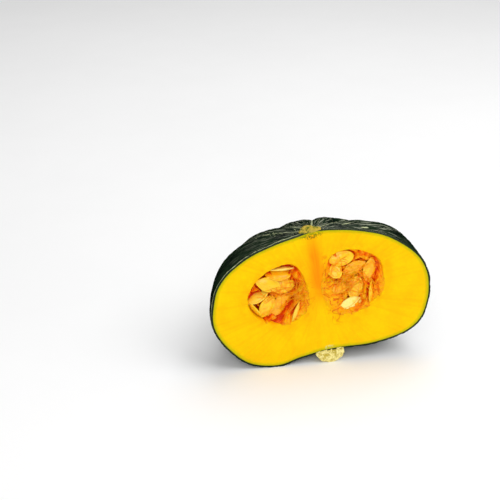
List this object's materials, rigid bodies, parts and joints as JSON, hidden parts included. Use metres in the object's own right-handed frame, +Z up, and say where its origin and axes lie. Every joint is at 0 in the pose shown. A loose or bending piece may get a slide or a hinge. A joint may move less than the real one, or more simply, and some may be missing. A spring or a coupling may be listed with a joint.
{
  "type": "pumpkin half",
  "caption": "Half of a dark green kabocha pumpkin cut through its stem, lying stem side down, with yellow flesh, seeds in stringy pulp, a corky stem and a blossom scar.",
  "frame": {"origin": "middle of the bounding box on the surface that the half lies on", "axes": "+X to the right along the cut face as the viewer sees it, +Y back behind the cut, +Z up"},
  "size_m": [0.1796, 0.095, 0.118],
  "materials": {
    "rind": "dark green waxy skin, half gloss, warty",
    "flesh": "moist yellow flesh, smooth knife cut",
    "pulp": "wet orange strings with cream seeds",
    "cork": "dry cream cork, rough"
  },
  "bodies": {
    "root": {"rind": "rind", "flesh": "flesh", "seed_pulp_left": "pulp", "seed_pulp_right": "pulp", "stem": "cork", "blossom_scar": "cork"}
  },
  "joints": []
}
